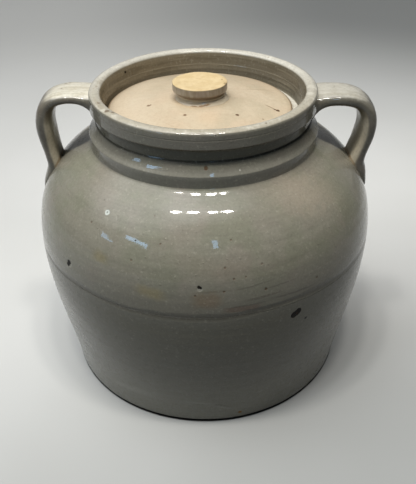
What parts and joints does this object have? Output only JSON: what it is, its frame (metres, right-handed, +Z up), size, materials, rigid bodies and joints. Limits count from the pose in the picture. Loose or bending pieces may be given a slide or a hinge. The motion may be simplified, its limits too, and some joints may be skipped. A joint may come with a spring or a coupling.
{
  "type": "bean pot",
  "caption": "Round-bellied stoneware bean pot with a ribbed neck, strap handles at the rim and a loose inset lid with a disc knob.",
  "frame": {"origin": "centre of the flat foot that the pot stands on", "axes": "+Z up along the axis of the jar; +X towards the right handle in the picture; -Y towards the viewer of the picture"},
  "size_m": [0.254, 0.254, 0.2271],
  "materials": {
    "lower_glaze": "glossy grey-beige glaze",
    "upper_glaze": "glossy warm grey glaze",
    "handle_glaze": "glossy grey-beige glaze",
    "lid_glaze": "satin cream glaze",
    "knob_glaze": "glazed side, bare top"
  },
  "bodies": {
    "pot": {"lower_body": "lower_glaze", "upper_body": "upper_glaze", "left_handle": "handle_glaze", "right_handle": "handle_glaze"},
    "lid": {"lid_disc": "lid_glaze", "lid_knob": "knob_glaze"}
  },
  "joints": [
    {"name": "lid_lift", "type": "slide", "parent": "pot", "child": "lid", "axis": [0, 0, 1], "range_m": [0, 0.06]}
  ]
}
